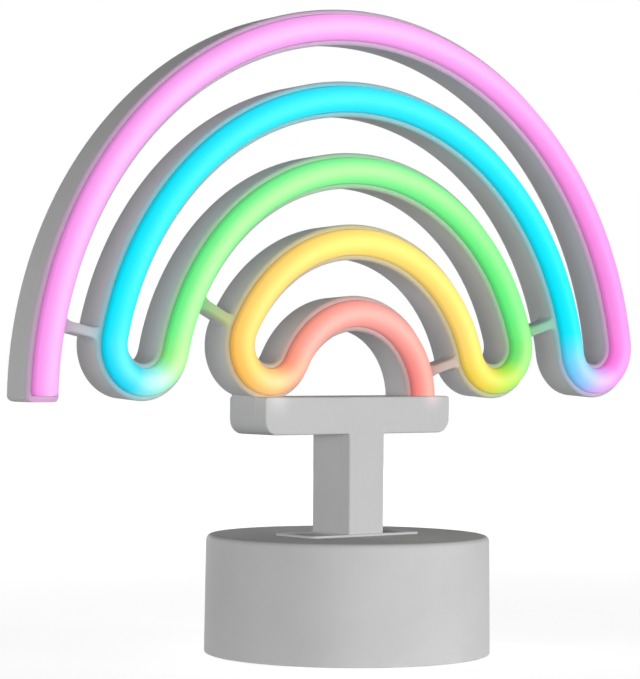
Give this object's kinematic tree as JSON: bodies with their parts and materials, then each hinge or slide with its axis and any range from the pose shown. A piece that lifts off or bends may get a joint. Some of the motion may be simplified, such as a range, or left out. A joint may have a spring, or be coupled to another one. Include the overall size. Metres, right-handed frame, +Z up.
{
  "type": "neon rainbow table lamp",
  "caption": "Table lamp with a winding neon tube of concentric rainbow arches in a white channel, on a short stem and a round battery base.",
  "frame": {"origin": "on the floor, under the middle of the round base", "axes": "+X to the right seen from the front, +Y to the back, +Z up; the lit side faces -Y"},
  "size_m": [0.265, 0.098, 0.2206],
  "materials": {
    "white_plastic": "satin white moulding",
    "neon_tube": "milky, lit from behind",
    "strip_board": "white solder mask",
    "led_pink": "lit",
    "led_blue": "lit",
    "led_green": "lit",
    "led_yellow": "lit",
    "led_red": "lit",
    "red_lead": "insulated wire",
    "black_lead": "insulated wire",
    "cell_case": "plain printed sleeve",
    "contact_steel": "plated spring steel",
    "screw_steel": "zinc plated",
    "green_board": "solder mask",
    "black_plastic": "fine grain",
    "capacitor_can": "satin",
    "inlet_steel": "plated",
    "foot_rubber": "soft"
  },
  "bodies": {
    "lamp": {"sign_housing": "white_plastic", "stem_front_cover": "white_plastic", "base_shell": "white_plastic", "bottom_cover": "white_plastic", "neon_diffuser": "neon_tube", "led_strip": "strip_board", "leds_pink": "led_pink", "leds_blue": "led_blue", "leds_green": "led_green", "leds_yellow": "led_yellow", "leds_red": "led_red", "stem_lead_plus": "red_lead", "battery_lead_plus": "red_lead", "stem_lead_minus": "black_lead", "battery_lead_minus": "black_lead", "aa_cells": "cell_case", "contact_plus": "contact_steel", "contact_bridge_back": "contact_steel", "contact_bridge_front": "contact_steel", "contact_minus": "contact_steel", "base_screws": "screw_steel", "lock_screws": "screw_steel", "cover_screws": "screw_steel", "board_screws": "screw_steel", "stem_lock_plate": "screw_steel", "circuit_board": "green_board", "driver_chip": "black_plastic", "board_resistors": "black_plastic", "switch_body": "black_plastic", "inlet_tongue": "black_plastic", "board_capacitor": "capacitor_can", "inlet_shell": "inlet_steel", "rubber_feet": "foot_rubber"},
    "door": {"battery_door": "white_plastic"},
    "knob": {"switch_knob": "black_plastic"}
  },
  "joints": [
    {"name": "battery_door_hinge", "type": "hinge", "parent": "lamp", "child": "door", "pos_m": [0, -0.0287, 0.0022], "axis": [-1, 0, 0], "range_deg": [0, 100]},
    {"name": "switch_slide", "type": "slide", "parent": "lamp", "child": "knob", "axis": [1, 0, 0], "range_m": [0, 0.004]}
  ]
}
